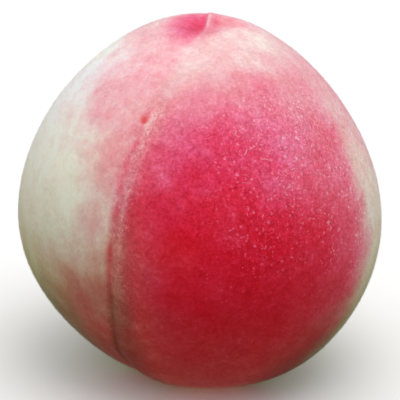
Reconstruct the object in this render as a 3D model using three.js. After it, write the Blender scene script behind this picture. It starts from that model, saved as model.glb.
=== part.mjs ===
// A ripe peach, standing stem end down on the shoulders round its stem cavity.
// Millimetres. +Z runs from the stem end up to the tip, -Y faces the suture (the seam down one side)
// and +X is the fuller cheek. The origin is on the table, under the middle of the fruit's bounding box.
import * as THREE from "three";

const { degToRad } = THREE.MathUtils;

// Overall form: a ball of this radius, and how far each swelling moves its skin.
const MEAN_RADIUS = 37.5;
const TALLNESS = 0.65; // both ends out, waist in
const TAPER = 0.55; // narrower above the waist, broader below it
const SQUARE_SHOULDERS = 0.85; // fuller between the waist and each end
const CHEEK_SLANT = 1.3; // the right cheek hangs low and the left cheek sits high
const FRONT_SAG = 0.45; // the front hangs low and the back sits high
const BELLY_BREADTH = 1.4; // broader from cheek to cheek low down, and from front to back high up

// Two gentle bulges. A heading is an angle round +Z, from -Y towards +X; polar is the angle from the tip.
const BULGES = [
  { name: "foot of the right cheek", heading: 75, polar: 139, height: 0.8, spread: 12 },
  { name: "left cheek", heading: -54, polar: 102, height: 0.5, spread: 13 },
];

// Tip: a broad blunt rise with a dimple in it, and a thin lip across the dimple, steep on its left.
const TIP_RISE = 1.15;
const TIP_SPREAD = 13;
const DIMPLE_DEPTH = 2.25;
const DIMPLE_SPREAD = 5.2;
const LIP_HEIGHT = 0.8;
const LIP_LEFT_SPREAD = 0.4;
const LIP_RIGHT_SPREAD = 1.4;
const LIP_HEADING = degToRad(203);
const LIP_MIDDLE = 3; // beyond the tip, along LIP_HEADING
const LIP_REACH = 4.5;

// Stem end: a funnel-shaped cavity between two shoulders, with the scar of the stalk on its floor.
const CAVITY_DEPTH = 9.4;
const CAVITY_SPREAD = 7.9;
const SCAR_HEIGHT = 0.7;
const SCAR_SPREAD = 1.6;
const SHOULDER_LEVELLING = 2.3; // evens out the shoulders, so that the fruit stands upright
const SHOULDER_SPREAD = 20;

// Suture: a shallow valley with a sharp crease along its floor. It starts at the dimple and deepens
// towards the stem cavity, where the right lobe also stands a little higher than the left.
const VALLEY_SPREAD = 3.75;
const CREASE_SPREAD = 0.75;
const CREASE_SHARE = 0.4; // share of the depth that is crease; the rest is valley
const GROOVE_DEPTH = 0.4;
const GROOVE_DEPTH_AT_TIP = 0.4;
const GROOVE_TIP_REACH = 11;
const GROOVE_DEPTH_AT_STEM = 1.2;
const GROOVE_STEM_REACH = 28;
const DIMPLE_FLOOR = 4.5; // the groove fades out nearer to the tip than about this
const LOBE_STEP = 0.6;
const LOBE_STEP_FROM_STEM = 24;
const LOBE_STEP_LENGTH = 15;
const LOBE_STEP_INNER = 2.2;
const LOBE_STEP_OUTER = 18;

// The seam isn't quite straight: it swings right at the tip and left at the stem end.
const SWAY_AT_TIP = degToRad(19);
const SWAY_TIP_REACH = 20.5;
const SWAY_AT_STEM = degToRad(-11);
const SWAY_FROM_STEM = 22;
const SWAY_STEM_REACH = 17;

// How far the shoulders are pressed flat by the fruit's own weight.
const REST_FLATTENING = 0.35;

// Mesh: rings from tip to stem end and columns round the fruit, bunched up where detail is finest.
const RINGS = 58;
const COLUMNS = 80;
const RING_BUNCHING = 0.45;
const COLUMN_BUNCHING = 0.75;

// 1 at distance 0, about a third at one spread away and almost nothing at two.
const bell = (distance, spread) => Math.exp(-((distance / spread) ** 2));

// Steps from 0 to 1, crowded together at both ends.
const bunched = (share, bunching) =>
  share - (bunching * Math.sin(2 * Math.PI * share)) / (2 * Math.PI);

// The unit vector at a heading round +Z and a polar angle from the tip, both in radians.
const direction = (heading, polar) =>
  new THREE.Vector3(
    Math.sin(polar) * Math.sin(heading),
    -Math.sin(polar) * Math.cos(heading),
    Math.cos(polar),
  );

// Swelling of the skin in direction n, by smooth terms that each bend the whole ball.
function formSwelling({ x, y, z }) {
  return (
    (TALLNESS * (3 * z ** 2 - 1)) / 2 +
    (TAPER * (5 * z ** 3 - 3 * z)) / 2 +
    (SQUARE_SHOULDERS * (35 * z ** 4 - 30 * z ** 2 + 3)) / 8 -
    CHEEK_SLANT * x * z -
    FRONT_SAG * y * z -
    BELLY_BREADTH * (x * x - y * y) * z
  );
}

// Height of the two bulges in direction n.
function bulgeRise(n) {
  let rise = 0;
  for (const { heading, polar, height, spread } of BULGES) {
    const away = n.angleTo(direction(degToRad(heading), degToRad(polar)));
    rise += height * bell(MEAN_RADIUS * away, spread);
  }
  return rise;
}

// The thin lip that crosses the dimple.
function lipRise(heading, polar) {
  if (polar > Math.PI / 2) return 0;
  const outward = MEAN_RADIUS * Math.sin(polar);
  const along = outward * Math.cos(heading - LIP_HEADING);
  const aside = outward * Math.sin(heading - LIP_HEADING);
  const spread = aside > 0 ? LIP_LEFT_SPREAD : LIP_RIGHT_SPREAD;
  return LIP_HEIGHT * bell(aside, spread) * bell(along - LIP_MIDDLE, LIP_REACH);
}

// What the two ends add to the ball: tip, dimple and lip, then cavity, scar and levelled shoulders.
function endsRise(n, heading, polar) {
  const fromTip = MEAN_RADIUS * polar;
  const fromStem = MEAN_RADIUS * (Math.PI - polar);
  return (
    TIP_RISE * bell(fromTip, TIP_SPREAD) -
    DIMPLE_DEPTH * bell(fromTip, DIMPLE_SPREAD) +
    lipRise(heading, polar) -
    CAVITY_DEPTH * bell(fromStem, CAVITY_SPREAD) +
    SCAR_HEIGHT * bell(fromStem, SCAR_SPREAD) -
    SHOULDER_LEVELLING * n.x * bell(fromStem, SHOULDER_SPREAD)
  );
}

// The suture's valley and crease, and the step between the lobes. turn is the angle round from the seam.
function seamRise(turn, polar) {
  const fromTip = MEAN_RADIUS * polar;
  const fromStem = MEAN_RADIUS * (Math.PI - polar);
  const off = MEAN_RADIUS * Math.sin(polar) * Math.abs(turn);
  const depth =
    GROOVE_DEPTH +
    GROOVE_DEPTH_AT_TIP * bell(fromTip, GROOVE_TIP_REACH) +
    GROOVE_DEPTH_AT_STEM * bell(fromStem, GROOVE_STEM_REACH);
  const profile =
    (1 - CREASE_SHARE) * bell(off, VALLEY_SPREAD) +
    CREASE_SHARE * Math.exp(-off / CREASE_SPREAD);
  const fade = (1 - bell(fromTip, DIMPLE_FLOOR)) * Math.cos(turn / 2) ** 2;
  const stepAlong = bell(fromStem - LOBE_STEP_FROM_STEM, LOBE_STEP_LENGTH);
  const stepAcross = (1 - bell(off, LOBE_STEP_INNER)) * bell(off, LOBE_STEP_OUTER);
  return LOBE_STEP * Math.sign(turn) * stepAlong * stepAcross - depth * profile * fade;
}

// The skin at an angle polar from the tip and an angle turn round from the seam, from -PI to PI.
function skinPoint(turn, polar) {
  const sway =
    SWAY_AT_TIP * bell(MEAN_RADIUS * polar, SWAY_TIP_REACH) +
    SWAY_AT_STEM * bell(MEAN_RADIUS * (Math.PI - polar) - SWAY_FROM_STEM, SWAY_STEM_REACH);
  const heading = turn + sway;
  const n = direction(heading, polar);
  const rise =
    formSwelling(n) + bulgeRise(n) + endsRise(n, heading, polar) + seamRise(turn, polar);
  return n.multiplyScalar(MEAN_RADIUS + rise);
}

// Points from tip to stem end: one for the tip, COLUMNS for each ring between, one for the stem end.
function skinPoints() {
  const points = [skinPoint(0, 0)];
  for (let ring = 1; ring < RINGS; ring++) {
    const polar = Math.PI * bunched(ring / RINGS, RING_BUNCHING);
    for (let column = 0; column < COLUMNS; column++) {
      const round = 2 * Math.PI * bunched(column / COLUMNS, COLUMN_BUNCHING);
      points.push(skinPoint(round > Math.PI ? round - 2 * Math.PI : round, polar));
    }
  }
  points.push(skinPoint(0, Math.PI));
  return points;
}

// Triangles that join the points into one closed skin, facing out.
function skinTriangles() {
  const at = (ring, column) => 1 + (ring - 1) * COLUMNS + (column % COLUMNS);
  const last = 1 + (RINGS - 1) * COLUMNS;
  const triangles = [];
  for (let column = 0; column < COLUMNS; column++) {
    triangles.push(0, at(1, column), at(1, column + 1));
    for (let ring = 1; ring < RINGS - 1; ring++) {
      const [a, b] = [at(ring, column), at(ring, column + 1)];
      const [c, d] = [at(ring + 1, column), at(ring + 1, column + 1)];
      triangles.push(a, c, d, a, d, b);
    }
    triangles.push(at(RINGS - 1, column), last, at(RINGS - 1, column + 1));
  }
  return triangles;
}

// Moves the fruit over the origin and flattens its shoulders where they touch the table.
function standOnTable(points) {
  const box = new THREE.Box3().setFromPoints(points);
  const middle = box.getCenter(new THREE.Vector3());
  const foot = new THREE.Vector3(middle.x, middle.y, box.min.z + REST_FLATTENING);
  for (const point of points) {
    point.sub(foot);
    point.z = Math.max(point.z, 0);
  }
  return points;
}

function peachGeometry() {
  const geometry = new THREE.BufferGeometry().setFromPoints(standOnTable(skinPoints()));
  geometry.setIndex(skinTriangles());
  geometry.computeVertexNormals();
  return geometry;
}

const peachSkin = new THREE.MeshStandardMaterial({
  color: 0xd8546c,
  roughness: 0.75,
  metalness: 0,
});

const fruit = new THREE.Group();
const peach = new THREE.Mesh(peachGeometry(), peachSkin);
peach.name = "peach";
fruit.add(peach);

export default fruit;
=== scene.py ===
"""A peach, dressed around its CAD frame: a fine skin, painted and bumped by nodes, and fuzz of hairs.

Sizes are millimetres until the meshes are made. +Z runs from the stem end up to the tip, -Y faces the
suture and +X is the fuller cheek, as in the part's own source, whose named values are repeated here.
"""

import math

import bpy
import numpy as np
from mathutils import Matrix, Vector


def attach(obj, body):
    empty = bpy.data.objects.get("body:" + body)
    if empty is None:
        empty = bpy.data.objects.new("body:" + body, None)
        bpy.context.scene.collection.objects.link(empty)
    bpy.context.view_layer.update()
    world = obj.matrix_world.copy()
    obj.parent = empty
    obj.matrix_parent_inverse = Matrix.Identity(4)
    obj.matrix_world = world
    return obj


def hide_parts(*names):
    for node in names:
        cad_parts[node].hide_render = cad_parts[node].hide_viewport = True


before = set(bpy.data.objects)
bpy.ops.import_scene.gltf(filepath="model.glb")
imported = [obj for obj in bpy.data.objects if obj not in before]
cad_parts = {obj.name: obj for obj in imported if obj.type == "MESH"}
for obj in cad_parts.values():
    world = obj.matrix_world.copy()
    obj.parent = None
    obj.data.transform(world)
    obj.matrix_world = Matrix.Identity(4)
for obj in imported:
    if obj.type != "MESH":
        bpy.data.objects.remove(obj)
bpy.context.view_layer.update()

MM = 0.001
RADIANS = math.pi / 180

# ---------------------------------------------------------------------------------------------
# Form, with the same values as the CAD model
# ---------------------------------------------------------------------------------------------
MEAN_RADIUS = 37.5
TALLNESS = 0.65
TAPER = 0.55
SQUARE_SHOULDERS = 0.85
CHEEK_SLANT = 1.3
FRONT_SAG = 0.45
BELLY_BREADTH = 1.4
BULGES = (  # heading and polar angle in degrees, height, spread
    (75, 139, 0.8, 12),
    (-54, 102, 0.5, 13),
)
TIP_RISE, TIP_SPREAD = 1.15, 13
DIMPLE_DEPTH, DIMPLE_SPREAD = 2.25, 5.2
LIP_HEIGHT, LIP_LEFT_SPREAD, LIP_RIGHT_SPREAD = 0.8, 0.4, 1.4
LIP_HEADING, LIP_MIDDLE, LIP_REACH = 203 * RADIANS, 3, 4.5
CAVITY_DEPTH, CAVITY_SPREAD = 9.4, 7.9
SCAR_HEIGHT, SCAR_SPREAD = 0.7, 1.6
SHOULDER_LEVELLING, SHOULDER_SPREAD = 2.3, 20
VALLEY_SPREAD, CREASE_SPREAD, CREASE_SHARE = 3.75, 0.75, 0.4
CREASE_SHARE_AT_TIP, CREASE_SOFTENS = 0.1, (70 * RADIANS, 40 * RADIANS)
GROOVE_DEPTH = 0.4
GROOVE_DEPTH_AT_TIP, GROOVE_TIP_REACH = 0.4, 11
GROOVE_DEPTH_AT_STEM, GROOVE_STEM_REACH = 1.2, 28
DIMPLE_FLOOR = 4.5
LOBE_STEP, LOBE_STEP_FROM_STEM, LOBE_STEP_LENGTH = 0.6, 24, 15
LOBE_STEP_INNER, LOBE_STEP_OUTER = 2.2, 18
SWAY_AT_TIP, SWAY_TIP_REACH = 19 * RADIANS, 20.5
SWAY_AT_STEM, SWAY_FROM_STEM, SWAY_STEM_REACH = -11 * RADIANS, 22, 17
REST_FLATTENING = 0.35

# What the skin has beyond the CAD model.
RIPPLES = ((17, 0.02), (8.5, 0.011), (4.3, 0.006))  # wavelength and height of each set
FIRST_RIPPLE_SEED = 11
RINGS, COLUMNS = 254, 384
RING_BUNCHING, COLUMN_BUNCHING = 0.45, 0.75


def bell(distance, spread):
    return np.exp(-((distance / spread) ** 2))


def ramp(value, start, end):
    """0 before start, 1 after end and smooth between; start may be the greater."""
    share = np.clip((value - start) / (end - start), 0, 1)
    return share * share * (3 - 2 * share)


def course(value, *stops, softness=3.0):
    """The amount at value, on lines between stops of (value, amount), with softened corners."""
    places, amounts = zip(*stops)
    shifts = (-softness, 0, softness)
    return sum(np.interp(value + shift, places, amounts) for shift in shifts) / len(shifts)


def mixed(share, first, second):
    return first + share * (second - first)


def spots(across, down, *rows):
    """The sum of soft spots: each has an amount, a place across and down, and a spread both ways."""
    return sum(
        amount * bell(across - middle, width) * bell(down - level, height)
        for amount, middle, level, width, height in rows
    )


def bunched(share, bunching):
    return share - bunching * np.sin(2 * np.pi * share) / (2 * np.pi)


def direction(heading, polar):
    return np.stack(
        [
            np.sin(polar) * np.sin(heading),
            -np.sin(polar) * np.cos(heading),
            np.cos(polar) + 0 * heading,
        ],
        -1,
    )


def heading_of(turn, polar):
    """The heading round +Z of a point that is turn round from the suture."""
    return (
        turn
        + SWAY_AT_TIP * bell(MEAN_RADIUS * polar, SWAY_TIP_REACH)
        + SWAY_AT_STEM
        * bell(MEAN_RADIUS * (np.pi - polar) - SWAY_FROM_STEM, SWAY_STEM_REACH)
    )


def form_swelling(n):
    x, y, z = n[..., 0], n[..., 1], n[..., 2]
    return (
        TALLNESS * (3 * z**2 - 1) / 2
        + TAPER * (5 * z**3 - 3 * z) / 2
        + SQUARE_SHOULDERS * (35 * z**4 - 30 * z**2 + 3) / 8
        - CHEEK_SLANT * x * z
        - FRONT_SAG * y * z
        - BELLY_BREADTH * (x * x - y * y) * z
    )


def distance_to(n, heading, polar):
    """Distance over the skin from direction n to a place given in degrees."""
    place = direction(np.float64(heading * RADIANS), np.float64(polar * RADIANS))
    return MEAN_RADIUS * np.arccos(np.clip(n @ place, -1, 1))


def bulge_rise(n):
    return sum(
        height * bell(distance_to(n, heading, polar), spread)
        for heading, polar, height, spread in BULGES
    )


def lip_places(heading, polar):
    outward = MEAN_RADIUS * np.sin(polar)
    return (
        outward * np.cos(heading - LIP_HEADING),
        outward * np.sin(heading - LIP_HEADING),
    )


def lip_rise(heading, polar):
    along, aside = lip_places(heading, polar)
    spread = np.where(aside > 0, LIP_LEFT_SPREAD, LIP_RIGHT_SPREAD)
    rise = LIP_HEIGHT * bell(aside, spread) * bell(along - LIP_MIDDLE, LIP_REACH)
    return np.where(polar > np.pi / 2, 0, rise)


def ends_rise(n, heading, polar):
    from_tip = MEAN_RADIUS * polar
    from_stem = MEAN_RADIUS * (np.pi - polar)
    return (
        TIP_RISE * bell(from_tip, TIP_SPREAD)
        - DIMPLE_DEPTH * bell(from_tip, DIMPLE_SPREAD)
        + lip_rise(heading, polar)
        - CAVITY_DEPTH * bell(from_stem, CAVITY_SPREAD)
        + SCAR_HEIGHT * bell(from_stem, SCAR_SPREAD)
        - SHOULDER_LEVELLING * n[..., 0] * bell(from_stem, SHOULDER_SPREAD)
    )


def seam_rise(turn, polar):
    from_tip = MEAN_RADIUS * polar
    from_stem = MEAN_RADIUS * (np.pi - polar)
    off = MEAN_RADIUS * np.sin(polar) * np.abs(turn)
    depth = (
        GROOVE_DEPTH
        + GROOVE_DEPTH_AT_TIP * bell(from_tip, GROOVE_TIP_REACH)
        + GROOVE_DEPTH_AT_STEM * bell(from_stem, GROOVE_STEM_REACH)
    )
    share = CREASE_SHARE + (CREASE_SHARE_AT_TIP - CREASE_SHARE) * ramp(polar, *CREASE_SOFTENS)
    profile = (1 - share) * bell(off, VALLEY_SPREAD) + share * np.exp(-off / CREASE_SPREAD)
    fade = (1 - bell(from_tip, DIMPLE_FLOOR)) * np.cos(turn / 2) ** 2
    step_along = bell(from_stem - LOBE_STEP_FROM_STEM, LOBE_STEP_LENGTH)
    step_across = (1 - bell(off, LOBE_STEP_INNER)) * bell(off, LOBE_STEP_OUTER)
    return LOBE_STEP * np.sign(turn) * step_along * step_across - depth * profile * fade


def waves(n, length, seed, count=7):
    """Smooth seeded unevenness over the ball, mostly from -1 to 1, with swells about length apart."""
    random = np.random.default_rng(seed)
    total = np.zeros(n.shape[:-1])
    for _ in range(count):
        way = random.normal(size=3)
        way /= np.linalg.norm(way)
        phase = random.uniform(0, 2 * np.pi)
        total += np.sin(2 * np.pi * MEAN_RADIUS * (n @ way) / length + phase)
    return total / math.sqrt(count / 2)


def ripples(n):
    """Small seeded swells of the skin."""
    return sum(
        height * waves(n, length, FIRST_RIPPLE_SEED + number)
        for number, (length, height) in enumerate(RIPPLES)
    )


def skin_point(turn, polar):
    heading = heading_of(turn, polar)
    n = direction(heading, polar)
    rise = (
        form_swelling(n)
        + bulge_rise(n)
        + ends_rise(n, heading, polar)
        + seam_rise(turn, polar)
        + ripples(n)
    )
    return n * (MEAN_RADIUS + rise)[..., None]


def skin_grid():
    """Turn and polar angle of each vertex: the tip, the rings between, the stem end."""
    column = np.arange(COLUMNS) / COLUMNS - 0.5
    turns = 2 * np.pi * bunched(column, COLUMN_BUNCHING)
    polars = np.pi * bunched(np.arange(1, RINGS) / RINGS, RING_BUNCHING)
    polar, turn = np.meshgrid(polars, turns, indexing="ij")
    turn = np.concatenate([[0], turn.ravel(), [0]])
    polar = np.concatenate([[0], polar.ravel(), [np.pi]])
    return turn, polar


def skin_faces():
    """Faces that join the grid's vertices, and the share round and down of each face corner."""
    faces, places = [], []
    last = 1 + (RINGS - 1) * COLUMNS
    for ring in range(RINGS):
        top, foot = ring / RINGS, (ring + 1) / RINGS
        upper, lower = 1 + (ring - 1) * COLUMNS, 1 + ring * COLUMNS
        for column in range(COLUMNS):
            after = (column + 1) % COLUMNS
            left, right = column / COLUMNS, (column + 1) / COLUMNS
            middle = (left + right) / 2
            if ring == 0:
                faces.append((0, 1 + column, 1 + after))
                places += [(middle, top), (left, foot), (right, foot)]
            elif ring == RINGS - 1:
                faces.append((upper + column, last, upper + after))
                places += [(left, top), (middle, foot), (right, top)]
            else:
                faces.append(
                    (upper + column, lower + column, lower + after, upper + after)
                )
                places += [(left, top), (left, foot), (right, foot), (right, top)]
    return faces, np.array(places)


def fast_mesh(name, points, loops, starts, places, values):
    """A mesh from arrays: points in millimetres, its faces' corners and their places on the skin's map."""
    mesh = bpy.data.meshes.new(name)
    mesh.vertices.add(len(points))
    mesh.vertices.foreach_set("co", (points * MM).astype(np.float32).ravel())
    mesh.loops.add(len(loops))
    mesh.loops.foreach_set("vertex_index", loops.astype(np.int32))
    mesh.polygons.add(len(starts))
    mesh.polygons.foreach_set("loop_start", starts.astype(np.int32))
    mesh.update(calc_edges=True)
    mesh.shade_smooth()
    uv = mesh.uv_layers.new(name="OFBake")
    uv.data.foreach_set("uv", places.astype(np.float32).ravel())
    for key, value in values.items():
        layer = mesh.attributes.new(key, "FLOAT", "POINT")
        layer.data.foreach_set("value", value.astype(np.float32))
    mesh.validate()
    made = bpy.data.objects.new(name, mesh)
    bpy.context.scene.collection.objects.link(made)
    return made


# ---------------------------------------------------------------------------------------------
# Paint: how many layers of crimson, yellow and shade the skin holds, by where it is on the fruit
#
# turned is degrees round from the suture and down is degrees from the tip. off is millimetres from
# the suture. All of them grow to the right or downwards, and the seam is at 0.
# ---------------------------------------------------------------------------------------------
def tip_patch(x, y):
    """The crimson patch left of the lip; x is right of the tip and y is out along the suture."""
    plateau = np.exp(-(((x + 2.7) / 4.7) ** 2 + ((y - 0.8) / 8.6) ** 2) ** 2)
    core = bell(x + 2.3, 2.3) * bell(y - 0.6, 6.4)
    cut = 1 - 0.66 * ramp(x + 0.12 * np.maximum(y - 6, 0), -1.1, 0.3)
    return (0.56 * plateau + 0.52 * core) * cut


def cheek_share(off, turned, down):
    """1 on the blushed cheek, 0 left of it and past its right edge."""
    inner = course(
        off, (1.8, 0), (4, 0.26), (8, 0.48), (10.5, 0.67), (14, 0.9), (18, 1), softness=0.8
    )
    step = course(down, (50, 0), (58, 0.12), (66, 0.16), (74, 0.22), (82, 0.1), (90, 0))
    step = step * ramp(off, 2.4, 4.4) * ramp(off, 14, 7)
    edge = course(down, (60, 96), (80, 90), (105, 87), (150, 84))
    fading = course(down, (72, 7), (100, 12))
    return np.minimum(inner + step, 1) * ramp(turned, edge + fading, edge - 9)


def cheek_crimson(turned, down):
    """The big blush right of the suture: a broad wash with a deeper heart, and paler spots."""
    wash = course(
        down, (14, 0.07), (21, 0.12), (29, 0.27), (45, 0.36), (66, 0.44), (80, 0.53),
        (104, 0.55), (140, 0.5), (165, 0.1)
    )
    heart = course(
        down, (24, 0.01), (32, 0.06), (40, 0.1), (48, 0.29), (60, 0.44), (84, 0.6),
        (104, 0.57), (120, 0.33), (165, 0.08)
    )
    fades_from = 30 + 18 * ramp(down, 50, 85)
    thinner = 1 - 0.35 * ramp(turned, 66, 90) * ramp(down, 46, 30)
    paler = spots(
        turned, down,
        (0.1, 17, 101, 10, 7), (0.08, 42, 35, 11, 5), (0.13, 60, 77, 7, 6), (-0.1, 71, 62, 6, 6),
        (0.1, 81, 78, 6, 6), (0.06, 22, 77, 12, 6), (0.08, 43, 43, 8, 6), (0.06, 57, 53, 7, 6)
    )
    return wash * thinner + heart * (1 - ramp(turned, fades_from, fades_from + 43)) - paler


def seam_crimson(down):
    """What lies right beside the suture."""
    return course(
        down, (12, 0.15), (20, 0.1), (25, 0.1), (32, 0.17), (40, 0.23), (50, 0.27), (66, 0.33),
        (75, 0.28), (105, 0.26), (112, 0.34), (120, 0.39), (135, 0.47), (160, 0.15)
    )


def left_crimson(turned, down):
    """Left of the suture: a pink haze above, a strip beside the suture, a duller patch low down."""
    foot = np.clip(41 + 0.72 * (turned + 40), 32, 66)
    haze = 0.18 * ramp(turned, -74, -16) * ramp(down, 8, 24) * ramp(down, foot + 15, foot - 14)
    strip = 0.09 * ramp(turned, -26, -3) * ramp(down, 48, 70)
    low = 0.29 * ramp(turned, -40, -6) * ramp(down, 86, 118)
    beside = spots(turned, down, (0.07, -3, 55, 6, 9), (-0.07, -4, 39, 7, 5))
    beside = beside + 0.08 * bell(turned + 4, 9) * ramp(down, 104, 120)
    return haze + strip + low + beside


def far_crimson(around, down):
    """The side that faces away: a haze, and a second and fainter blush."""
    haze = course(down, (20, 0.11), (40, 0.16), (52, 0.16), (66, 0.1), (85, 0.02), (110, 0.0))
    return haze * ramp(around, 235, 150) + spots(around, down, (0.24, 200, 64, 34, 26))


def seam_line(off, down, n):
    """The suture's own broken crimson line."""
    middle = course(down, (75, 0.3), (92, -0.4))
    strength = course(
        down, (38, 0), (45, 0.07), (58, 0.07), (66, 0.14), (72, 0.18), (78, 0.04), (82, 0),
        (88, 0.12), (101, 0.15), (108, 0.05), (116, 0.02), softness=1.5
    )
    broken = mixed(ramp(down, 64, 76), 0.9, 0.3)
    return strength * bell(off - middle, 0.8) * np.maximum(1 + broken * waves(n, 4, 35), 0)


def ground_yellow(turned, down):
    """Yellow of the unblushed ground, which turns it khaki low down."""
    down = down + 3 * ramp(turned, -24, -6) * ramp(turned, 20, 0)
    down = down - 4 * ramp(turned, 17, 69) * ramp(turned, 160, 115)
    ground = course(
        down, (30, -0.05), (56, 0), (80, 0.1), (92, 0.22), (100, 0.5), (107, 0.68),
        (116, 0.83), (130, 1.03)
    )
    return ground + spots(
        turned, down,
        (-0.12, -52, 42, 18, 16), (0.06, -8, 60, 11, 12), (0.06, 94, 58, 12, 14),
        (0.16, -23, 114, 7, 6), (-0.12, -9, 112, 6, 7), (-0.16, 100, 103, 8, 6)
    )


def seam_yellow(down):
    return course(
        down, (30, -0.02), (40, 0.03), (60, 0.01), (70, 0.05), (76, 0.13), (84, 0.4), (92, 0.45),
        (100, 0.55), (105, 0.66), (110, 0.84), (120, 1.05), (130, 1.3), (150, 1.15)
    )


def cheek_yellow(turned, down):
    """Yellow of the blush: less than none above, where it is pink, and brick red low down."""
    middle = course(
        down, (20, -0.02), (34, -0.07), (42, -0.22), (50, -0.4), (60, -0.39), (70, -0.23),
        (80, -0.1), (90, -0.08), (98, -0.02), (106, 0.18), (114, 0.45), (130, 0.8), (150, 0.9),
        softness=5
    )
    sides = 0.2 * ramp(turned, 54, 74) + 0.14 * ramp(turned, 26, 10)
    pinker = spots(
        turned, down,
        (0.12, 50, 82, 12, 11), (0.11, 40, 105, 14, 8), (0.24, 16, 78, 10, 6), (0.18, 36, 88, 9, 6)
    )
    redder = spots(
        turned, down,
        (0.25, 20, 88, 8, 6), (0.12, 84, 50, 9, 9), (0.08, 51, 57, 7, 9)
    )
    redder = redder + 0.27 * ramp(turned, 56, 82) * ramp(down, 88, 112)
    redder = redder + 0.3 * ramp(turned, 62, 82) * ramp(down, 116, 128)
    return middle + sides * bell(down - 58, 18) - pinker + redder


def front_shade(off, turned, down):
    """Shade of the ground, the suture's band and the cheek, from left to right. It grows low down and
    towards the underside, partly the duller olive colour there and partly painted shade; it is a little
    lighter on the upper left and less on the far side and near the stem.
    """
    left = course(down, (88, 0), (104, 0.2), (112, 0.4), (122, 0.56), (135, 0.8))
    by_left = course(
        down, (86, 0), (94, 0.08), (102, 0.22), (110, 0.2), (117, 0.11), (126, 0.22), (135, 0.42)
    )
    by_left = by_left - 0.06 * ramp(down, 72, 50) * ramp(turned, -78, -60)
    seam = course(
        down, (62, 0), (76, 0.08), (90, 0.12), (99, 0.16), (104, 0.3), (109, 0.48), (117, 0.52),
        (126, 0.62), (165, 0.5), softness=2
    )
    cheek = spots(turned, down, (-0.09, 22, 90, 15, 18))
    right = course(
        down, (96, 0), (104, 0.08), (112, 0.26), (120, 0.52), (126, 0.86), (135, 1.0)
    )
    right = right - 0.06 * ramp(turned, 76, 90) * bell(down - 60, 18)

    shade = mixed(ramp(turned, -24, -9), left, by_left)
    shade = mixed(ramp(off, -2.0, 0.3), shade, seam)
    shade = mixed(ramp(off, 2.8, 6.5 + 3.5 * ramp(down, 108, 120)), shade, cheek)
    shade = mixed(ramp(turned, 58, 92), shade, right)
    shade = shade + spots(
        turned, down,
        (0.18, -32, 118, 9, 8), (0.08, 16, 109, 6, 6), (-0.1, 87, 93, 8, 7)
    )
    shade = shade + spots(off, down, (0.05, 7, 94, 4, 6), (-0.15, 5, 117, 2.8, 6))
    shade = shade - 0.055 * ramp(turned, -9, -20) * ramp(down, 16, 28) * ramp(down, 86, 74)
    return shade * (1 - 0.4 * ramp(np.abs(turned), 105, 150)) * (1 - 0.45 * ramp(down, 138, 162))


class Places:
    """Where points of the skin lie, in each measure that the paint goes by, and its finest marks."""

    def __init__(self, turn, polar):
        heading = heading_of(turn, polar)
        n = direction(heading, polar)
        low_waves, fine_waves = waves(n, 26, 31), waves(n, 7, 32)
        self.n = n
        self.turned = np.degrees(turn) + 1.3 * low_waves + 0.9 * fine_waves
        self.down = np.degrees(polar) + 1.6 * waves(n, 22, 33) + 1.2 * waves(n, 7, 34)
        self.around = np.degrees(turn) % 360 + 5 * low_waves
        self.off = MEAN_RADIUS * np.sin(polar) * turn
        self.from_tip = MEAN_RADIUS * polar
        self.from_stem = MEAN_RADIUS * (np.pi - polar)
        self.x, self.y = self.from_tip * np.sin(turn), self.from_tip * np.cos(turn)

        ragged = self.off + 0.25 * fine_waves * ramp(self.off, 0.5, 3)
        self.front = np.abs(turn) < 0.7 * np.pi
        self.cheek = cheek_share(ragged, self.turned, self.down) * self.front
        self.patch = tip_patch(self.x, self.y)

        # The lip is pale along its crest, a painted highlight, with a dark line of painted shade at its
        # steep left foot and more painted shade in the groove to its right and just behind it.
        self.lip_along, lip_aside = lip_places(heading, polar)
        lip_length = bell(self.lip_along - LIP_MIDDLE, LIP_REACH) * (polar < 1)
        self.lip_crest = bell(lip_aside + 0.05, 0.4) * lip_length
        self.lip_foot = bell(lip_aside - 0.9, 0.5) * lip_length
        self.lip_right = bell(lip_aside + 1.5, 0.9) * lip_length
        self.behind_lip = spots(self.x, self.y, (1, 1.3, 3.4, 1.7, 2.3))

        # Two wavy threads, a pale one and a dark one, run along the suture's right bank.
        thread = course(self.down, (56, 0), (68, 1), (90, 1), (100, 0)) * (1 + 0.5 * waves(n, 6, 36))
        wavy = self.off + 0.3 * waves(n, 3.5, 37)
        self.pale_thread = thread * bell(wavy - 1.7, 0.4)
        self.dark_thread = thread * bell(wavy - 2.9, 0.45)
        self.beside_blemish = spots(self.off, self.down, (1, 1.1, 42.6, 0.7, 2.2))


def crimson_layers(at):
    """Crimson, from the whole fruit down to the suture's own line."""
    top = 0.11 * ramp(at.down, 32, 18)
    far = far_crimson(at.around, at.down)
    left = np.maximum(far + left_crimson(at.turned, at.down) * at.front, top)
    right = np.where(at.turned < 50, seam_crimson(at.down), np.maximum(far, top))
    right = mixed(at.cheek, right, cheek_crimson(at.turned, at.down))
    spread = course(at.down, (14, 2.6), (40, 1.7), (52, 2.0), (64, 1.5), (74, 1))
    crimson = mixed(ramp(at.off, -1.5 * spread, 0.4 * spread), left, right)

    crimson = crimson + 0.5 * at.patch + spots(at.x, at.y, (0.13, 4, -3, 4, 4))
    # Deeper crimson behind the lip stands for painted shade.
    crimson = crimson + 0.1 * at.behind_lip + seam_line(at.off, at.down, at.n)
    crimson = crimson + spots(at.turned, at.down, (0.1, -33, 42, 2.2, 2.0))
    # Crimson is thinned along the lip's crest as a painted highlight, and deepened at its left foot and on
    # its right as painted shade.
    crimson = crimson * (1 - 0.45 * at.lip_crest) + 0.1 * at.lip_foot + 0.12 * at.lip_right
    crimson = crimson - 0.07 * at.pale_thread - 0.14 * at.beside_blemish

    # It gives out round the stem cavity, but for a little at the scar.
    return crimson * (1 - 0.8 * bell(at.from_stem, 9)) + 0.2 * bell(at.from_stem, 1.3)


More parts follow.
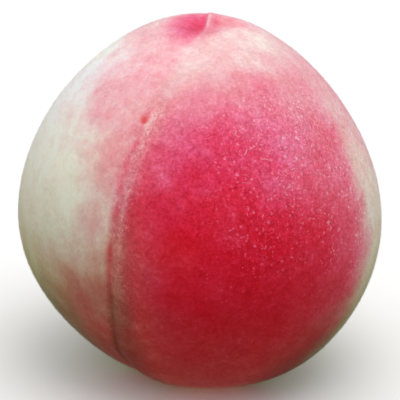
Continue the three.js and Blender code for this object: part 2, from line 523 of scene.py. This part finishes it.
def yellow_layers(at):
    """Yellow of the ground, the suture and the blush, the patch at the tip, the lip and the scar."""
    ground, blush = ground_yellow(at.turned, at.down), cheek_yellow(at.turned, at.down)
    yellow = mixed(ramp(at.off, -2.2, -0.2), ground, seam_yellow(at.down))
    yellow = yellow + 0.22 * bell(at.off + 0.2, 0.7) * ramp(at.down, 101, 112)
    reach = course(at.down, (55, 6), (70, 9), (88, 14))
    blushed = ramp(at.off, 2.5, reach) * np.maximum(at.cheek, at.turned < 50)
    yellow = mixed(blushed, yellow, blush)
    yellow = np.where(at.turned < 50, yellow, mixed(at.cheek, ground, blush))
    yellow = yellow - 0.33 * at.patch + 0.15 * at.lip_crest * ramp(at.lip_along, 2, 5)
    return yellow + 0.3 * bell(at.from_stem, 2.3)


def shade_layers(at):
    """Shade: what dulls all colours, partly the skin's duller colour low down and partly painted shade in
    the tip's dimple, beside the lip, in the suture's crease and on the underside.
    """
    shade = front_shade(at.off, at.turned, at.down)
    # Painted shade in the dimple at the tip, deepest on its left.
    shade = shade + (0.03 + 0.07 * ramp(at.x, 1, -2)) * bell(at.from_tip, 8)
    shade = shade + spots(at.x, at.y, (0.09, -2, 4, 3.2, 4))
    # Painted highlight along the lip's crest and painted shade on its right and just behind it; the dark
    # and pale threads beside the suture.
    shade = shade - 0.06 * at.lip_crest + 0.1 * at.lip_right * ramp(at.lip_along, 5, 1)
    shade = shade + 0.08 * at.behind_lip + 0.08 * at.dark_thread - 0.03 * at.pale_thread
    # Painted shade down the suture's crease towards the stem end, and a dark spot in it; a little lighter
    # beside the blemish.
    depth = course(at.down, (96, 0), (105, 0.14), (130, 0.25), (160, 0.25))
    shade = shade + bell(at.off + 0.2, 0.8) * depth
    shade = shade + spots(at.off, at.down, (0.14, -0.1, 109.5, 1.0, 2.3)) - 0.08 * at.beside_blemish
    return shade * (1 - 0.5 * bell(at.from_stem, 8)) + 0.5 * bell(at.from_stem, 2.0)


def texture_amounts(at):
    """How strongly specks, grain and streaks show."""
    upper_right = ramp(at.turned, 16, 50) * ramp(at.turned, 99, 88) * ramp(at.down, 26, 46)
    mottled = bell(at.off - 1.9, 1.9) * course(at.down, (30, 0), (44, 1), (90, 0.9), (125, 0.3))
    beside = bell(at.off - 2.2, 4.2) * course(at.down, (30, 0), (44, 0.8), (90, 0.7), (125, 0.3))
    beside = beside + spots(at.off, at.down, (0.45, 6, 106, 5, 16))
    upper_cheek = ramp(at.turned, 3, 14) * ramp(at.down, 34, 50) * ramp(at.down, 98, 66)
    upper_cheek = upper_cheek * (1 - upper_right)

    speck = 0.12 * at.cheek + 0.88 * upper_right * (1 - 0.9 * ramp(at.down, 78, 104))
    grain = 0.14 + 0.12 * ramp(at.down, 66, 36) + 0.1 * at.cheek + 0.9 * upper_cheek
    grain = grain + 0.4 * mottled + 0.8 * beside
    return {
        "speck": speck + 0.7 * mottled,
        "grain": grain + 1.15 * upper_right * (1 - 0.85 * ramp(at.down, 76, 110)),
        "streak": 0.3 + 0.6 * ramp(at.turned, -55, -12) * (at.off < 0) + 0.3 * ramp(at.down, 96, 120),
    }


def paint(turn, polar):
    """The amount of each pigment and texture at each vertex, as the materials read them."""
    at = Places(turn, polar)
    return {
        "crimson": np.maximum(crimson_layers(at), 0),
        "yellow": yellow_layers(at),
        "shade": shade_layers(at),
        **texture_amounts(at),
    }


turn, polar = skin_grid()
points = skin_point(turn, polar)
low, high = points.min(0), points.max(0)
FOOT = np.array(
    [(low[0] + high[0]) / 2, (low[1] + high[1]) / 2, low[2] + REST_FLATTENING]
)


def on_table(points):
    """Moves points from the ball's centre to the row frame and flattens the shoulders."""
    stood = points - FOOT
    stood[..., 2] = np.maximum(stood[..., 2], 0)
    return stood


faces, corners = skin_faces()
face_sizes = np.array([len(face) for face in faces])
starts = np.concatenate([[0], np.cumsum(face_sizes)[:-1]])
loops = np.concatenate([np.array(face) for face in faces])
skin_points = on_table(points)
skin_map = np.stack([corners[:, 0], 1 - corners[:, 1]], 1)
skin_paint = paint(turn, polar)
skin = fast_mesh("peach_skin", skin_points, loops, starts, skin_map, skin_paint)


# ---------------------------------------------------------------------------------------------
# Materials
# ---------------------------------------------------------------------------------------------
class Graph:
    """Builds a node tree. An input may be given a socket to link, or a number, vector or colour."""

    def __init__(self, tree):
        self.nodes, self.links = tree.nodes, tree.links
        self.nodes.clear()

    def feed(self, socket, value):
        if isinstance(value, bpy.types.NodeSocket):
            self.links.new(value, socket)
        else:
            socket.default_value = value

    def add(self, kind, inputs=None, **settings):
        node = self.nodes.new(kind)
        for name, value in settings.items():
            setattr(node, name, value)
        for name, value in (inputs or {}).items():
            self.feed(node.inputs[name], value)
        return node

    def feed_all(self, node, *values):
        for socket, value in zip(node.inputs, values):
            self.feed(socket, value)
        return node.outputs[0]

    def math(self, operation, *values):
        return self.feed_all(self.add("ShaderNodeMath", operation=operation), *values)

    def vector_math(self, operation, *values):
        node = self.add("ShaderNodeVectorMath", operation=operation)
        self.feed_all(node, *values)
        return node.outputs["Value" if operation == "DISTANCE" else "Vector"]

    def times(self, first, second):
        return self.math("MULTIPLY", first, second)

    def raised(self, value, by, share):
        """The value plus by times share."""
        return self.math("MULTIPLY_ADD", by, share, value)

    def attribute(self, name):
        return self.add("ShaderNodeAttribute", attribute_name=name).outputs["Fac"]

    def noise(self, vector, scale, detail=2.0, roughness=0.5):
        """Noise about 0, mostly from -1 to 1."""
        made = self.add(
            "ShaderNodeTexNoise",
            {"Vector": vector, "Scale": scale, "Detail": detail, "Roughness": roughness},
        )
        return self.math("MULTIPLY_ADD", made.outputs["Fac"], 4.0, -2.0)

    def smooth(self, value, start, end, low=0.0, high=1.0):
        made = self.add(
            "ShaderNodeMapRange",
            {"Value": value, "From Min": start, "From Max": end, "To Min": low, "To Max": high},
            interpolation_type="SMOOTHSTEP",
        )
        return made.outputs["Result"]

    def through(self, keeps, layers):
        """What is left of red, green and blue light after layers that each keep a share of it."""
        return [self.math("POWER", share, layers) for share in keeps]

    def joined(self, *channel_sets):
        """The product of several colours, each given as three values."""
        made = self.add("ShaderNodeCombineColor")
        for socket, parts in zip(made.inputs, zip(*channel_sets)):
            value = parts[0]
            for part in parts[1:]:
                value = self.times(value, part)
            self.feed(socket, self.math("MINIMUM", value, WHITEST))
        return made.outputs["Color"]

    def surface(self, inputs):
        shader = self.add("ShaderNodeBsdfPrincipled", inputs)
        self.add("ShaderNodeOutputMaterial", {"Surface": shader.outputs[0]})


GROUND = (0.92, 0.895, 0.775)  # ivory skin with no pigment
GROUND_TINT = (-0.012, -0.002, -0.014)  # what a blotch adds to it
CRIMSON = (0.875, 0.0185, 0.056)  # what one layer of crimson keeps of the light
YELLOW = (0.951, 0.861, 0.368)  # and one layer of yellow
# Shade is grey: much of it is painted shade in hollows and on the underside, some the duller colour low
# down.
SHADE = (math.exp(-1),) * 3  # and one of shade
WHITEST = 0.97

# Scale in swells a millimetre, octaves that are added, and roughness.
CLOUD, BLOTCH, MOTTLE = (0.13, 2, 0.5), (0.3, 3, 0.6), (0.8, 2, 0.6)
GRAIN, FINE_GRAIN, STRAND = (1.7, 2, 0.6), (3.6, 1, 0.5), (0.75, 3, 0.6)
STRAND_STRETCH = (1.0, 1.0, 0.13)  # strands run up and down

SPECKS = (  # cells a millimetre, reach within a cell, paleness, share of cells that hold a speck
    (0.72, 0.38, 0.52, 0.28),
    (1.2, 0.45, 0.5, 0.5),
    (2.1, 0.46, 0.36, 0.55),
)
SPECK_BEND, SPECK_BEND_SCALE = (0.9, 0.9, 0.9), 1.3
WORM_PALENESS = 0.46
PALE_LIGHTENS = -0.4

BLEMISH_TURN, BLEMISH_POLAR = -0.7, 45.2  # degrees
BLEMISH_EDGE, BLEMISH_CORE = 1.25, 0.2  # millimetres from its middle
BUMP_HEIGHT, BUMP_STRENGTH = 0.00004, 0.7  # metres, and the share of it that shows


def new_material(name):
    material = bpy.data.materials.new(name)
    material.use_nodes = True
    return material, Graph(material.node_tree)


def millimetres(graph):
    coordinates = graph.add("ShaderNodeTexCoord").outputs["Object"]
    return graph.vector_math("MULTIPLY", coordinates, (1000, 1000, 1000))


def light_left(graph, crimson, yellow, shade):
    """What is left of the light after each of the three pigments."""
    amounts = ((CRIMSON, crimson), (YELLOW, yellow), (SHADE, shade))
    return [graph.through(keeps, layers) for keeps, layers in amounts]


def uneven_crimson(graph, layers, cloud, blotch, mottle, grain, fine, strand):
    """Crimson with blotches and grain, which are stronger where there is more of it."""
    weight = graph.raised(0.006, layers, 0.12)
    close = graph.times(graph.raised(graph.times(mottle, 0.7), grain, 0.8), weight)
    broad = graph.raised(blotch, cloud, 1.2)
    uneven = graph.raised(close, broad, graph.raised(0.022, layers, 0.1))
    crimson = graph.math("ADD", layers, uneven)
    crimson = graph.raised(crimson, graph.times(fine, weight), 0.4)
    held = graph.times(graph.attribute("streak"), graph.raised(0.014, layers, 0.1))
    return graph.raised(crimson, strand, held)


def grained_shade(graph, blotch, mottle, grain, fine):
    """Shade with a neutral grain, as fine fuzz and pores give it."""
    fuzzy = graph.raised(graph.times(mottle, 0.085), grain, 0.12)
    fuzzy = graph.raised(fuzzy, fine, 0.085)
    shade = graph.raised(graph.attribute("shade"), fuzzy, graph.attribute("grain"))
    return graph.raised(shade, graph.raised(blotch, mottle, 0.8), 0.034)


def pale_marks(graph, place):
    """Specks, one in each cell of a Voronoi pattern with some of them missing, and short worms."""
    patchy = graph.smooth(graph.noise(place, 0.3, 2, 0.5), -0.8, 0.8, 0.35, 1.3)
    amount = graph.times(graph.attribute("speck"), patchy)
    plain = graph.smooth(amount, 0.0, 0.7, 0.3, 1.0)
    wobble = graph.add("ShaderNodeTexNoise", {"Vector": place, "Scale": SPECK_BEND_SCALE, "Detail": 1.0})
    bent = graph.vector_math("MULTIPLY_ADD", wobble.outputs["Color"], SPECK_BEND, place)

    ridge = graph.math("ABSOLUTE", graph.noise(place, 0.95, 1, 0.5))
    squashed = graph.vector_math("MULTIPLY", place, (1, 1, 1.2))
    gate = graph.smooth(graph.noise(squashed, 0.62, 1, 0.5), 0.25, 0.7)
    worm = graph.times(graph.smooth(ridge, 0.12, 0.02), graph.times(gate, amount))
    pale = graph.times(worm, WORM_PALENESS)

    for scale, reach, paleness, share in SPECKS:
        cells = graph.add("ShaderNodeTexVoronoi", {"Vector": bent, "Scale": scale, "Randomness": 1.0})
        chance = graph.add("ShaderNodeSeparateColor", {"Color": cells.outputs["Color"]}).outputs[0]
        kept = graph.math("LESS_THAN", chance, graph.times(amount, share))
        dot = graph.smooth(cells.outputs["Distance"], reach, reach * 0.25)
        dot = graph.times(graph.times(dot, kept), graph.times(paleness, plain))
        pale = graph.math("MAXIMUM", pale, dot)
    return pale


def skin_material():
    material, graph = new_material("peach_skin")
    place = millimetres(graph)
    cloud, blotch, mottle, grain, fine = (
        graph.noise(place, *kind) for kind in (CLOUD, BLOTCH, MOTTLE, GRAIN, FINE_GRAIN)
    )
    strand = graph.noise(graph.vector_math("MULTIPLY", place, STRAND_STRETCH), *STRAND)
    layers = graph.attribute("crimson")
    crimson = uneven_crimson(graph, layers, cloud, blotch, mottle, grain, fine, strand)
    shade = grained_shade(graph, blotch, mottle, grain, fine)

    pale = pale_marks(graph, place)
    pigmented = graph.math("SUBTRACT", 1.0, pale)
    crimson = graph.math("MAXIMUM", graph.times(crimson, pigmented), 0.0)
    yellow = graph.times(graph.attribute("yellow"), pigmented)
    held = graph.raised(0.012, graph.math("ABSOLUTE", yellow), 0.1)
    yellow = graph.raised(yellow, graph.math("ADD", blotch, strand), held)
    shade = graph.raised(shade, pale, PALE_LIGHTENS)

    # The small red-brown blemish on the suture.
    away = graph.vector_math("DISTANCE", place, place_on_skin(BLEMISH_TURN, BLEMISH_POLAR))
    spot = graph.smooth(graph.raised(away, grain, 0.3), BLEMISH_EDGE, BLEMISH_CORE)
    crimson = graph.raised(crimson, spot, 0.2)
    yellow = graph.raised(yellow, spot, 0.36)
    shade = graph.raised(shade, spot, 0.08)

    ground = [graph.raised(value, blotch, tint) for value, tint in zip(GROUND, GROUND_TINT)]
    height = graph.raised(graph.times(fine, 0.45), grain, 0.6)
    bump = graph.add(
        "ShaderNodeBump", {"Height": height, "Distance": BUMP_HEIGHT, "Strength": BUMP_STRENGTH}
    )
    graph.surface(
        {
            "Base Color": graph.joined(ground, *light_left(graph, crimson, yellow, shade)),
            "Roughness": graph.raised(0.78, grain, 0.035),
            "Normal": bump.outputs["Normal"],
            "Specular IOR Level": 0.12,
            "Sheen Weight": 0.12,
            "Sheen Roughness": 0.45,
            "Sheen Tint": (1.0, 0.93, 0.9, 1),
            "Subsurface Weight": 0.12,
            "Subsurface Radius": (1.0, 0.35, 0.22),
            "Subsurface Scale": 0.0012,
        }
    )
    return material


def place_on_skin(turn_degrees, polar_degrees):
    point = skin_point(np.array([turn_degrees * RADIANS]), np.array([polar_degrees * RADIANS]))
    return tuple(on_table(point)[0])


skin.data.materials.append(skin_material())
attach(skin, "root")
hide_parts("peach")

# ---------------------------------------------------------------------------------------------
# Fuzz: short fine hairs, each a three-sided needle closed at its root
# ---------------------------------------------------------------------------------------------
FUZZ_PIECES, HAIRS_EACH = 4, 48_000
FUZZ_SEED = 7
FUZZ_GROUND = (0.95, 0.94, 0.9)  # the colour of hairs with no pigment
HAIR_LENGTHS = (0.18, 0.4)
HAIR_ROOT_RADIUS = 0.018
HAIR_SINK = 0.03  # how far a root stands in the skin
HAIR_LEAN, HAIR_TOUSLE = 0.35, 0.55  # towards the stem end, and any way
HAIR_FLATTEST, HAIR_SIDEWAYS = 0.25, 0.4  # a hair flatter than the first leans by the second
HAIR_FACES = np.array([0, 1, 2, 0, 2, 3, 0, 3, 1, 1, 3, 2])  # 0 is its tip, 1 to 3 its root
HAIR_ALONG = (1.0, 0.0, 0.0, 0.0)
TABLE_GAP = 0.05

quads = np.array([face for face in faces if len(face) == 4])
skin_triangles = np.concatenate([quads[:, [0, 1, 2]], quads[:, [0, 2, 3]]])
quad_corners = skin_map[(face_sizes == 4).repeat(face_sizes)].reshape(-1, 4, 2)
map_triangles = np.concatenate([quad_corners[:, [0, 1, 2]], quad_corners[:, [0, 2, 3]]])


def unit(vectors):
    return vectors / np.linalg.norm(vectors, axis=-1, keepdims=True)


def scattered(count, random):
    """Even seeded places on the skin: the point, the way out, the map place and the paint there."""
    a, b, c = (skin_points[skin_triangles[:, corner]] for corner in range(3))
    out = np.cross(b - a, c - a)
    area = np.linalg.norm(out, axis=1)
    chosen = random.choice(len(area), count, p=area / area.sum())
    u, v = random.random((2, count))
    fold = u + v > 1
    u, v = np.where(fold, 1 - u, u), np.where(fold, 1 - v, v)
    share = np.stack([1 - u - v, u, v], 1)
    held = skin_triangles[chosen]
    where = (skin_points[held] * share[..., None]).sum(1)
    on_map = (map_triangles[chosen] * share[..., None]).sum(1)
    colours = {key: (value[held] * share).sum(1) for key, value in skin_paint.items()}
    return where, unit(out[chosen]), on_map, colours


def fuzz(name, random):
    where, out, on_map, colours = scattered(HAIRS_EACH, random)
    tousled = random.normal(size=where.shape) * HAIR_TOUSLE
    way = unit(out + tousled - [0, 0, HAIR_LEAN])
    lies_flat = (np.sum(way * out, 1) < HAIR_FLATTEST)[:, None]
    way = np.where(lies_flat, unit(out + HAIR_SIDEWAYS * way), way)
    length = random.uniform(*HAIR_LENGTHS, len(where))
    tip = where + way * length[:, None]
    standing = (where[:, 2] > TABLE_GAP) & (tip[:, 2] > TABLE_GAP)
    where, way, tip, on_map = where[standing], way[standing], tip[standing], on_map[standing]

    across = unit(np.cross(way, random.normal(size=way.shape)))
    beyond = np.cross(way, across)
    root = where - way * HAIR_SINK
    corners = [tip]
    for turn_round in (0, 2 * np.pi / 3, 4 * np.pi / 3):
        spoke = math.cos(turn_round) * across + math.sin(turn_round) * beyond
        corners.append(root + HAIR_ROOT_RADIUS * spoke)
    points = np.stack(corners, 1)
    count, corner_count = points.shape[:2]
    loops = (np.arange(count)[:, None] * corner_count + HAIR_FACES).ravel()
    starts = np.arange(len(loops) // 3) * 3
    values = {key: value[standing].repeat(corner_count) for key, value in colours.items()}
    values["along"] = np.tile(HAIR_ALONG, count)
    places = on_map.repeat(len(HAIR_FACES), 0)
    return fast_mesh(name, points.reshape(-1, 3), loops, starts, places, values)


def fuzz_material():
    """Hairs hold a little less of each pigment than the skin below, and least at their tips."""
    material, graph = new_material("peach_fuzz")
    tint = graph.noise(millimetres(graph), 2.0, 1)
    thinner = graph.raised(0.9, graph.attribute("along"), -0.25)
    crimson = graph.raised(graph.times(graph.attribute("crimson"), thinner), tint, 0.03)
    crimson = graph.math("MAXIMUM", crimson, 0.0)
    yellow = graph.times(graph.attribute("yellow"), 0.7)
    # The hairs carry the skin's shade, its painted shade included.
    shade = graph.times(graph.attribute("shade"), 0.8)
    graph.surface(
        {
            "Base Color": graph.joined(FUZZ_GROUND, *light_left(graph, crimson, yellow, shade)),
            "Roughness": graph.raised(0.6, tint, 0.05),
            "Specular IOR Level": 0.15,
        }
    )
    return material


fuzz_look = fuzz_material()
random = np.random.default_rng(FUZZ_SEED)
for number in range(FUZZ_PIECES):
    coat = fuzz(f"peach_fuzz_{number + 1}", random)
    coat.data.materials.append(fuzz_look)
    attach(coat, "root")

# ---------------------------------------------------------------------------------------------
# Fibres: the pale curled threads that stand out on the blush and beside the blemish
# ---------------------------------------------------------------------------------------------
FIBRES = (  # turn and polar angle in degrees, length, way from east and curl in degrees
    (-0.8, 42.8, 1.2, 55, 60), (-1.4, 41.6, 0.9, 110, -40), (0.6, 48.4, 0.8, 80, 20),
    (43.5, 53.5, 1.5, 60, 40), (45.6, 52.4, 0.9, 15, 60), (51.2, 56.2, 1.9, -12, -50),
    (39.5, 47.0, 1.0, 70, 40), (58.8, 65.6, 1.8, 25, 130), (57.3, 67.8, 1.0, -70, 60),
    (72.0, 63.5, 1.3, -55, 90), (62.0, 60.5, 1.2, 5, 20),
)
SEEDED_FIBRES, FIBRE_SEED = 34, 11
SEEDED_LEAST, SEEDED_MOST = (36, 42, 0.4, 0, -140), (84, 84, 0.95, 180, 140)
FIBRE_SIDES, FIBRE_STEPS = 6, 12
PLACED_RADIUS, SEEDED_RADIUS = 0.14, 0.09
FIBRE_FLATNESS, FIBRE_LIFT, FIBRE_TAPER, FIBRE_END = 0.4, 0.02, 0.85, 0.03
PLACED_CRIMSON, SEEDED_CRIMSON = 0.3, 0.4
FIBRE_MAP_CELLS = 9
FIBRE_GROUND = (0.97, 0.93, 0.93)


def centred(steps):
    return steps - steps.mean(1, keepdims=True)


def fibre_lines(random):
    """Points along every fibre's middle and the way out of the skin there."""
    seeded = random.uniform(SEEDED_LEAST, SEEDED_MOST, (SEEDED_FIBRES, len(SEEDED_LEAST)))
    turns, polars, length, heading, curl = np.concatenate([FIBRES, seeded]).T[..., None]
    share = np.linspace(-0.5, 0.5, FIBRE_STEPS + 1)
    way = (heading + curl * share) * RADIANS
    step = length / FIBRE_STEPS
    east = centred(np.cumsum(np.cos(way), 1)) * step
    north = centred(np.cumsum(np.sin(way), 1)) * step
    polar = polars * RADIANS - north / MEAN_RADIUS
    turn = turns * RADIANS + east / (MEAN_RADIUS * np.sin(polars * RADIANS))
    middle = on_table(skin_point(turn.ravel(), polar.ravel())).reshape(turn.shape + (3,))
    out = unit(middle - on_table(np.zeros((1, 3)))[0])
    return middle + FIBRE_LIFT * out, out


def tube_faces(rings, sides):
    """Triangles of a closed tube whose two end points come last, and each corner's ring and side."""
    triangles, places = [], []
    for ring in range(rings - 1):
        for side in range(sides):
            a, b = ring * sides + side, ring * sides + (side + 1) % sides
            c, d = a + sides, b + sides
            triangles += [(a, c, d), (a, d, b)]
            places += [(ring, side), (ring + 1, side), (ring + 1, side + 1)]
            places += [(ring, side), (ring + 1, side + 1), (ring, side + 1)]
    start, last = rings * sides, (rings - 1) * sides
    for side in range(sides):
        after = (side + 1) % sides
        triangles += [(start, side, after), (start + 1, last + after, last + side)]
        places += [(-0.5, side + 0.5), (0, side), (0, side + 1)]
        places += [(rings - 0.5, side + 0.5), (rings - 1, side + 1), (rings - 1, side)]
    return np.array(triangles), np.array(places, float)


def fibres(name, random):
    middle, out = fibre_lines(random)
    count, rings = middle.shape[:2]
    along = unit(np.gradient(middle, axis=1))
    across = unit(np.cross(along, out))
    above = FIBRE_FLATNESS * np.cross(across, along)
    share = np.linspace(-1, 1, rings)
    placed = np.arange(count) < len(FIBRES)
    radius = np.where(placed, PLACED_RADIUS, SEEDED_RADIUS)[:, None]
    thickness = (radius * np.sqrt(1 - FIBRE_TAPER * share**4))[:, :, None, None]
    round_it = (np.arange(FIBRE_SIDES) * 2 * np.pi / FIBRE_SIDES)[:, None]
    spokes = across[:, :, None] * np.cos(round_it) + above[:, :, None] * np.sin(round_it)
    tube = (middle[:, :, None] + thickness * spokes).reshape(count, -1, 3)
    first, last = middle[:, 0] - FIBRE_END * along[:, 0], middle[:, -1] + FIBRE_END * along[:, -1]
    points = np.concatenate([tube, np.stack([first, last], 1)], 1)

    triangles, places = tube_faces(rings, FIBRE_SIDES)
    places = (places + 1) / (rings + 1, FIBRE_SIDES + 2)
    cells = np.stack(np.divmod(np.arange(count), FIBRE_MAP_CELLS), 1)
    places = ((cells[:, None] + places) / FIBRE_MAP_CELLS).reshape(-1, 2)
    loops = (np.arange(count)[:, None, None] * points.shape[1] + triangles).ravel()
    starts = np.arange(count * len(triangles)) * 3
    crimson = np.where(placed, PLACED_CRIMSON, SEEDED_CRIMSON).repeat(points.shape[1])
    return fast_mesh(name, points.reshape(-1, 3), loops, starts, places, {"crimson": crimson})


def fibre_material():
    material, graph = new_material("peach_fibre")
    place = millimetres(graph)
    crimson = graph.raised(graph.attribute("crimson"), graph.noise(place, 1.1, 2), 0.05)
    graph.surface(
        {
            "Base Color": graph.joined(FIBRE_GROUND, graph.through(CRIMSON, crimson)),
            "Roughness": graph.raised(0.6, graph.noise(place, 4.0, 1), 0.05),
            "Specular IOR Level": 0.15,
        }
    )
    return material


threads = fibres("peach_fibres", np.random.default_rng(FIBRE_SEED))
threads.data.materials.append(fibre_material())
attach(threads, "root")

# ---------------------------------------------------------------------------------------------
# Studio: floor, light, camera. Distances in the view are millimetres; the light's are metres.
# ---------------------------------------------------------------------------------------------
FLOOR_SIDE, FLOOR_DROP = 6.0, 0.0002  # metres; it lies just below the fruit
FLOOR_GREY, BACKDROP_GREY = (0.93, 0.93, 0.93, 1), (0.95, 0.95, 0.95, 1)
WHITE = (1, 1, 1, 1)
AMBIENT_GLOW, OVERHEAD_GLOW = 0.28, 0.97

VIEW_AZIMUTH, VIEW_ELEVATION, VIEW_ROLL = 27.85 * RADIANS, 20.36 * RADIANS, 1.91 * RADIANS
VIEW_DISTANCE = 600
VIEW_SCALE = 4.806  # pixels per millimetre at the ball's centre, in a picture 400 pixels wide
CENTRE_RIGHT, CENTRE_DOWN = 0.79, 5.3  # pixels from the picture's middle to the ball's centre
PICTURE_WIDTH = 400
SENSOR = 36
NEAREST_SEEN, FARTHEST_SEEN = 0.01, 20  # metres

KEY_AZIMUTH, KEY_ELEVATION, KEY_DISTANCE = 60 * RADIANS, 75 * RADIANS, 1.2
KEY_SIZE, KEY_WATTS = 1.0, 3.9
KEY_AIM = (0, 0, 0.037)


def linked(name, data):
    made = bpy.data.objects.new(name, data)
    bpy.context.scene.collection.objects.link(made)
    return made


def way_to(azimuth, elevation):
    """The way from the fruit to a place that is azimuth round from the front and elevation up."""
    level = math.cos(elevation)
    return Vector((math.sin(azimuth) * level, -math.cos(azimuth) * level, math.sin(elevation)))


def make_floor():
    half = FLOOR_SIDE / 2
    mesh = bpy.data.meshes.new("floor")
    corners = [(-half, -half, 0), (half, -half, 0), (half, half, 0), (-half, half, 0)]
    mesh.from_pydata(corners, [], [(0, 1, 2, 3)])
    material, graph = new_material("floor")
    graph.surface({"Base Color": FLOOR_GREY, "Roughness": 1.0, "Specular IOR Level": 0.0})
    mesh.materials.append(material)
    made = linked("floor", mesh)
    made.location.z = -FLOOR_DROP
    made.visible_diffuse = False
    made.visible_glossy = False
    return made


def light_world():
    """White light from all round, most from overhead. The camera sees an even backdrop instead."""
    world = bpy.data.worlds.new("studio")
    world.use_nodes = True
    graph = Graph(world.node_tree)
    way = graph.add("ShaderNodeTexCoord").outputs["Generated"]
    up = graph.add("ShaderNodeSeparateXYZ", {"Vector": way}).outputs["Z"]
    glow = graph.raised(AMBIENT_GLOW, graph.math("MAXIMUM", up, 0), OVERHEAD_GLOW)
    lit = graph.add("ShaderNodeBackground", {"Color": WHITE, "Strength": glow})
    seen = graph.add("ShaderNodeBackground", {"Color": BACKDROP_GREY})
    is_seen = graph.add("ShaderNodeLightPath").outputs["Is Camera Ray"]
    either = graph.add("ShaderNodeMixShader")
    graph.feed_all(either, is_seen, lit.outputs[0], seen.outputs[0])
    graph.add("ShaderNodeOutputWorld", {"Surface": either.outputs[0]})
    bpy.context.scene.world = world


def make_camera():
    towards = way_to(VIEW_AZIMUTH, VIEW_ELEVATION)
    level = Vector((math.cos(VIEW_AZIMUTH), math.sin(VIEW_AZIMUTH), 0))
    upright = towards.cross(level)
    right = level * math.cos(VIEW_ROLL) + upright * math.sin(VIEW_ROLL)
    up = upright * math.cos(VIEW_ROLL) - level * math.sin(VIEW_ROLL)
    centre = Vector(tuple(-FOOT))
    eye = centre + towards * VIEW_DISTANCE
    aim = centre - right * (CENTRE_RIGHT / VIEW_SCALE) + up * (CENTRE_DOWN / VIEW_SCALE)
    back = (eye - aim).normalized()
    across = up.cross(back).normalized()
    data = bpy.data.cameras.new("camera")
    data.sensor_width = SENSOR
    data.lens = SENSOR * VIEW_DISTANCE * VIEW_SCALE / PICTURE_WIDTH
    data.clip_start, data.clip_end = NEAREST_SEEN, FARTHEST_SEEN
    made = linked("camera", data)
    turned = Matrix((across, back.cross(across), back)).transposed().to_4x4()
    made.matrix_world = Matrix.Translation(eye * MM) @ turned
    return made


def make_key_light():
    data = bpy.data.lights.new("key", "AREA")
    data.shape = "DISK"
    data.size = KEY_SIZE
    data.energy = KEY_WATTS
    made = linked("key", data)
    way = way_to(KEY_AZIMUTH, KEY_ELEVATION)
    made.location = Vector(KEY_AIM) + way * KEY_DISTANCE
    made.rotation_euler = way.to_track_quat("Z", "Y").to_euler()


floor = make_floor()
light_world()
bpy.context.scene.camera = make_camera()
make_key_light()
bpy.context.scene.view_settings.view_transform = "Standard"
